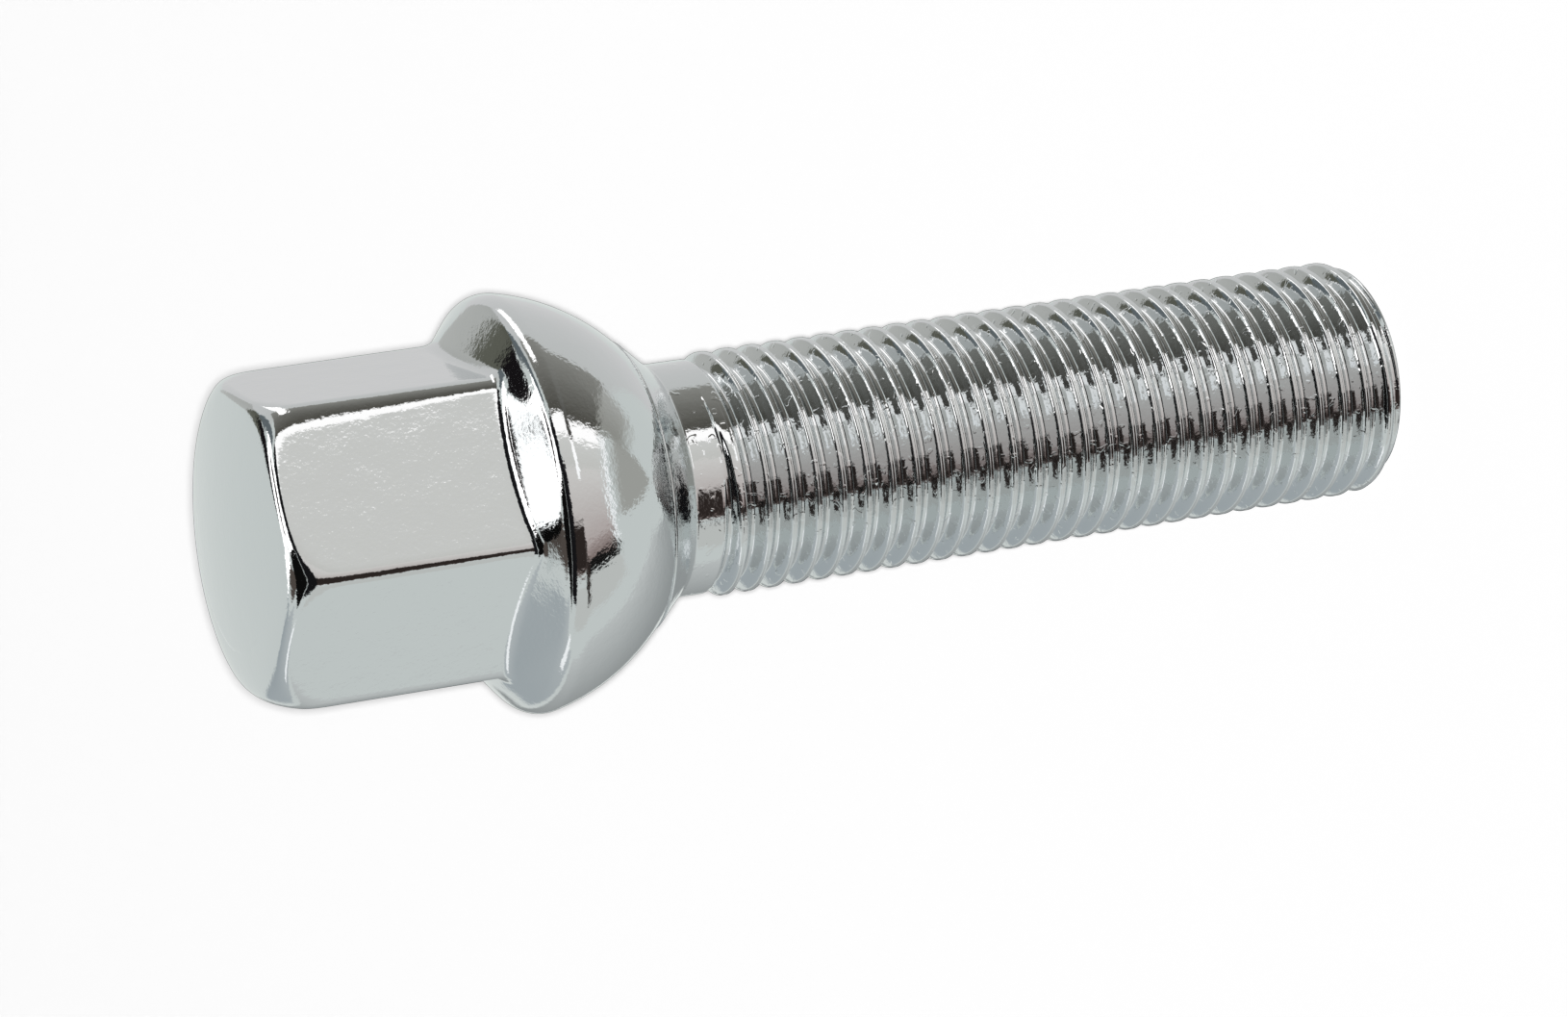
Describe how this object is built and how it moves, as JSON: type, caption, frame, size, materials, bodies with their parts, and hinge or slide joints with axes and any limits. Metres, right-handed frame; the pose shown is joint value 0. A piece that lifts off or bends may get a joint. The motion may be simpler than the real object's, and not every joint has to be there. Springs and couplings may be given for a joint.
{
  "type": "wheel bolt",
  "caption": "Chromed steel wheel bolt with a hexagon head, flared collar, ball seat, plain neck and a long rolled thread.",
  "frame": {"origin": "centre of the flat end face of the thread, on which the bolt stands", "axes": "+Z along the bolt's axis from the thread end to the head, +Y square to one flat of the hexagon"},
  "size_m": [0.0236, 0.0236, 0.0698],
  "materials": {
    "chromed_steel": "bright chrome plating on forged steel"
  },
  "bodies": {
    "root": {"wheel_bolt": "chromed_steel"}
  },
  "joints": []
}
